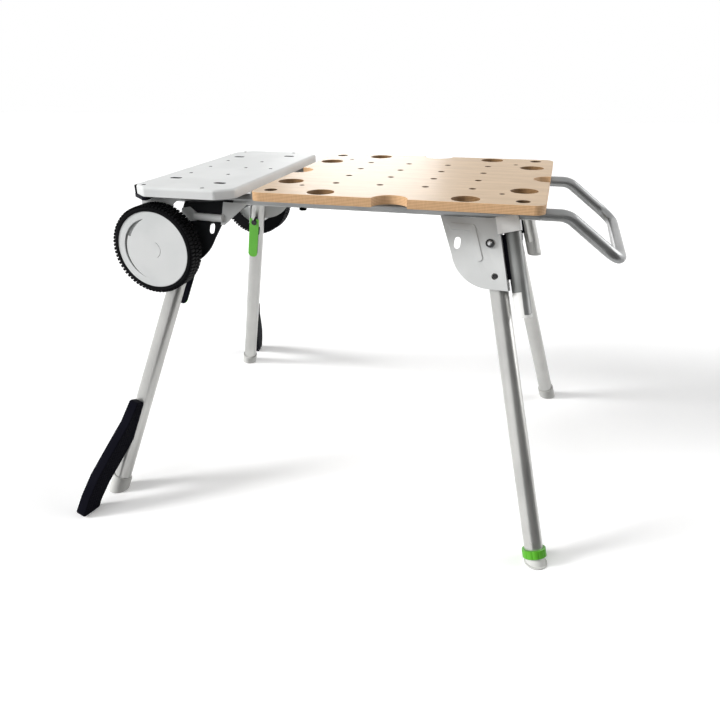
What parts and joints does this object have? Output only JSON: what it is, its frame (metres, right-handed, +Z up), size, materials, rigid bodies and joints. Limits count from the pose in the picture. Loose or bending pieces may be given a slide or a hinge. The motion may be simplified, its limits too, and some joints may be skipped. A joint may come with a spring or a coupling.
{
  "type": "folding table saw stand",
  "caption": "Folding saw stand: a holed plywood board and a sheet tray on two rails, splayed folding legs with release levers, wheels at one end and a tube handle at the other.",
  "frame": {"origin": "centre of the footprint box, on the floor", "axes": "+X from the wheels to the handle, +Y away from the front, +Z up"},
  "size_m": [1.128, 1.028, 0.71],
  "materials": {
    "birch_board": "clear-lacquered birch plywood with visible plies on the edges",
    "dark_tube": "satin dark grey powder coat",
    "leg_finish": "satin light grey powder coat",
    "light_sheet": "light grey powder coat with a fine texture",
    "dark_sheet": "near-black powder coat",
    "fastener_steel": "zinc-plated steel",
    "green_plastic": "green moulded plastic",
    "black_plastic": "black moulded plastic, dimpled on the pedals",
    "grey_plastic": "light grey moulded plastic",
    "pale_plastic": "off-white moulded plastic",
    "tyre_rubber": "black rubber with a lugged tread",
    "rim_plastic": "light grey moulded plastic"
  },
  "bodies": {
    "frame": {"plywood_board": "birch_board", "wheel_end_tray": "light_sheet", "handle_loop": "dark_tube", "cross_member_board": "dark_tube", "cross_member_tray": "dark_tube", "wheel_axle": "fastener_steel", "rail_near": "dark_tube", "tray_bumper_near": "black_plastic", "wheel_bracket_near": "light_sheet", "brace_near": "light_sheet", "parking_foot_near": "leg_finish", "parking_plug_near": "pale_plastic", "parking_spacer_near": "black_plastic", "parking_clamp_near": "light_sheet", "leg_bracket_handle_end_near": "light_sheet", "pivot_bolt_handle_end_near": "fastener_steel", "leg_bracket_wheel_end_near": "dark_sheet", "pivot_bolt_wheel_end_near": "fastener_steel", "rail_far": "dark_tube", "tray_bumper_far": "black_plastic", "wheel_bracket_far": "light_sheet", "brace_far": "light_sheet", "parking_foot_far": "leg_finish", "parking_plug_far": "pale_plastic", "parking_spacer_far": "black_plastic", "parking_clamp_far": "light_sheet", "leg_bracket_handle_end_far": "light_sheet", "pivot_bolt_handle_end_far": "fastener_steel", "leg_bracket_wheel_end_far": "light_sheet", "pivot_bolt_wheel_end_far": "fastener_steel"},
    "wheel_near": {"tyre_near": "tyre_rubber", "wheel_rim_near": "rim_plastic", "hub_cover_near": "rim_plastic"},
    "leg_handle_end_near": {"leg_tube_handle_end_near": "leg_finish"},
    "lever_handle_end_near": {"release_lever_handle_end_near": "green_plastic", "lever_pin_handle_end_near": "fastener_steel"},
    "pin_handle_end_near": {"lock_pin_handle_end_near": "fastener_steel"},
    "levelling_nut": {"levelling_collar": "green_plastic"},
    "levelling_foot": {"levelling_pad": "grey_plastic"},
    "leg_wheel_end_near": {"leg_tube_wheel_end_near": "leg_finish", "foot_cap_wheel_end_near": "grey_plastic", "foot_pedal_near": "black_plastic"},
    "lever_wheel_end_near": {"release_lever_wheel_end_near": "green_plastic", "lever_pin_wheel_end_near": "fastener_steel"},
    "pin_wheel_end_near": {"lock_pin_wheel_end_near": "fastener_steel"},
    "wheel_far": {"tyre_far": "tyre_rubber", "wheel_rim_far": "rim_plastic", "hub_cover_far": "rim_plastic"},
    "leg_handle_end_far": {"leg_tube_handle_end_far": "leg_finish", "foot_cap_handle_end_far": "grey_plastic"},
    "lever_handle_end_far": {"release_lever_handle_end_far": "green_plastic", "lever_pin_handle_end_far": "fastener_steel"},
    "pin_handle_end_far": {"lock_pin_handle_end_far": "fastener_steel"},
    "leg_wheel_end_far": {"leg_tube_wheel_end_far": "leg_finish", "foot_cap_wheel_end_far": "grey_plastic", "foot_pedal_far": "black_plastic"},
    "lever_wheel_end_far": {"release_lever_wheel_end_far": "green_plastic", "lever_pin_wheel_end_far": "fastener_steel"},
    "pin_wheel_end_far": {"lock_pin_wheel_end_far": "fastener_steel"}
  },
  "joints": [
    {"name": "wheel_near_spin", "type": "hinge", "parent": "frame", "child": "wheel_near", "pos_m": [-0.40492, -0.268, 0.578], "axis": [0, 1, 0], "continuous": true},
    {"name": "leg_handle_end_near_fold", "type": "hinge", "parent": "frame", "child": "leg_handle_end_near", "pos_m": [0.30608, -0.181, 0.61], "axis": [0.1001, 0.9522, -0.2887], "range_deg": [0, 105.18]},
    {"name": "lever_handle_end_near_press", "type": "hinge", "parent": "leg_handle_end_near", "child": "lever_handle_end_near", "pos_m": [0.33191, -0.18574, 0.5098], "axis": [-0.9677, 0.0257, -0.2507], "range_deg": [0, 8], "stiffness_Nm_per_rad": 0.5},
    {"name": "pin_handle_end_near_slide", "type": "slide", "parent": "leg_handle_end_near", "child": "pin_handle_end_near", "axis": [0.1001, 0.9522, -0.2887], "range_m": [0, 0.0059]},
    {"name": "levelling_nut_turn", "type": "hinge", "parent": "leg_handle_end_near", "child": "levelling_nut", "pos_m": [0.45321, -0.37469, 0.02218], "axis": [0.2313, -0.3045, -0.924], "range_deg": [0, 720]},
    {"name": "levelling_foot_slide", "type": "slide", "parent": "leg_handle_end_near", "child": "levelling_foot", "axis": [0.2313, -0.3045, -0.924], "range_m": [0, 0.0081]},
    {"name": "leg_wheel_end_near_fold", "type": "hinge", "parent": "frame", "child": "leg_wheel_end_near", "pos_m": [-0.35992, -0.181, 0.61], "axis": [-0.0985, -0.9367, 0.336], "range_deg": [0, 102.82]},
    {"name": "lever_wheel_end_near_press", "type": "hinge", "parent": "leg_wheel_end_near", "child": "lever_wheel_end_near", "pos_m": [-0.38275, -0.18597, 0.50909], "axis": [-0.962, 0.176, 0.2089], "range_deg": [0, 8], "stiffness_Nm_per_rad": 0.5},
    {"name": "pin_wheel_end_near_slide", "type": "slide", "parent": "leg_wheel_end_near", "child": "pin_wheel_end_near", "axis": [0.0985, 0.9367, -0.336], "range_m": [0, 0.0059]},
    {"name": "wheel_far_spin", "type": "hinge", "parent": "frame", "child": "wheel_far", "pos_m": [-0.40492, 0.268, 0.578], "axis": [0, 1, 0], "continuous": true},
    {"name": "leg_handle_end_far_fold", "type": "hinge", "parent": "frame", "child": "leg_handle_end_far", "pos_m": [0.30608, 0.181, 0.61], "axis": [-0.1001, 0.9522, 0.2887], "range_deg": [0, 105.18]},
    {"name": "lever_handle_end_far_press", "type": "hinge", "parent": "leg_handle_end_far", "child": "lever_handle_end_far", "pos_m": [0.33191, 0.18574, 0.5098], "axis": [0.9677, 0.0257, 0.2507], "range_deg": [0, 8], "stiffness_Nm_per_rad": 0.5},
    {"name": "pin_handle_end_far_slide", "type": "slide", "parent": "leg_handle_end_far", "child": "pin_handle_end_far", "axis": [0.1001, -0.9522, -0.2887], "range_m": [0, 0.0059]},
    {"name": "leg_wheel_end_far_fold", "type": "hinge", "parent": "frame", "child": "leg_wheel_end_far", "pos_m": [-0.35992, 0.181, 0.61], "axis": [0.0985, -0.9367, -0.336], "range_deg": [0, 102.82]},
    {"name": "lever_wheel_end_far_press", "type": "hinge", "parent": "leg_wheel_end_far", "child": "lever_wheel_end_far", "pos_m": [-0.38275, 0.18597, 0.50909], "axis": [0.962, 0.176, -0.2089], "range_deg": [0, 8], "stiffness_Nm_per_rad": 0.5},
    {"name": "pin_wheel_end_far_slide", "type": "slide", "parent": "leg_wheel_end_far", "child": "pin_wheel_end_far", "axis": [0.0985, -0.9367, -0.336], "range_m": [0, 0.0059]}
  ],
  "couplings": [
    {"joint": "pin_handle_end_near_slide", "follows": "lever_handle_end_near_press", "m_per_rad": 0.042},
    {"joint": "levelling_foot_slide", "follows": "levelling_nut_turn", "m_per_rad": 0.00063662},
    {"joint": "pin_wheel_end_near_slide", "follows": "lever_wheel_end_near_press", "m_per_rad": 0.042},
    {"joint": "pin_handle_end_far_slide", "follows": "lever_handle_end_far_press", "m_per_rad": 0.042},
    {"joint": "pin_wheel_end_far_slide", "follows": "lever_wheel_end_far_press", "m_per_rad": 0.042}
  ]
}
